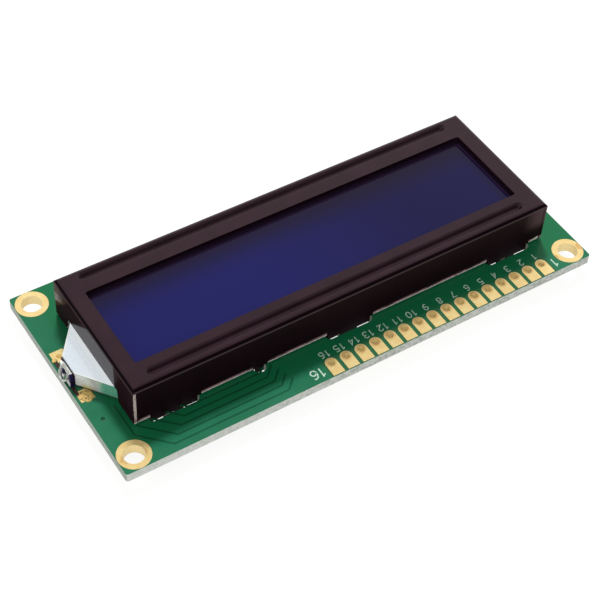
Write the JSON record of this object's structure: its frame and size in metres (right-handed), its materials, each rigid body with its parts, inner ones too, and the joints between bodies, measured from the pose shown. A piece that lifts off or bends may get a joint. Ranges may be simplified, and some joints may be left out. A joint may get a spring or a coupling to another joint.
{
  "type": "character lcd module",
  "caption": "Side-lit character display module: glass cell under a black steel bezel on a green circuit board with plated mounting holes and a header pad row.",
  "frame": {"origin": "centre of the circuit board in X and Y, at the flats of the two epoxy domes under it, on which the module stands", "axes": "+X along the board's length, with pin 1 at the +X end and the lamp at the -X end; +Y away from the header row; +Z out of the display"},
  "size_m": [0.08, 0.036, 0.0109],
  "materials": {
    "solder_mask": "glossy green solder mask over glass fibre",
    "gold_plating": "thin bright gold plating on copper",
    "elastomer": "silicone strip with conducting layers",
    "white_film": "thin white reflecting or diffusing film",
    "clear_acrylic": "clear moulded acrylic",
    "polarizer": "dark violet polarizing film, semi-gloss",
    "cell_glass": "clear soda-lime glass with transparent electrodes",
    "cell_epoxy": "cured sealing resin",
    "liquid_crystal": "thin liquid crystal layer, dark blue at rest",
    "bezel_steel": "glossy black-brown coated steel sheet",
    "led_resin": "white moulded lamp body",
    "led_phosphor": "clear resin over phosphor",
    "led_lead": "tarnished flat lead",
    "solder": "tin solder, satin",
    "dome_epoxy": "black potting resin, slightly glossy",
    "resistor_body": "black-glazed ceramic",
    "capacitor_body": "tan sintered ceramic"
  },
  "bodies": {
    "root": {"pcb": "solder_mask", "mounting_rings": "gold_plating", "header_pads": "gold_plating", "led_pads": "gold_plating", "contact_fingers": "gold_plating", "elastomer_near": "elastomer", "elastomer_far": "elastomer", "reflector_film": "white_film", "light_guide": "clear_acrylic", "tongue_film": "white_film", "diffuser_film": "white_film", "rear_polarizer": "polarizer", "rear_glass": "cell_glass", "cell_seal": "cell_epoxy", "liquid_crystal": "liquid_crystal", "fill_port_seal": "cell_epoxy", "front_glass": "cell_glass", "front_polarizer": "polarizer", "bezel": "bezel_steel", "led_housing": "led_resin", "led_window": "led_phosphor", "led_leads": "led_lead", "led_solder": "solder", "controller_dome": "dome_epoxy", "driver_dome": "dome_epoxy", "resistor_bodies": "resistor_body", "resistor_caps": "solder", "capacitor_bodies": "capacitor_body", "capacitor_caps": "solder", "chip_pads": "solder"}
  },
  "joints": []
}
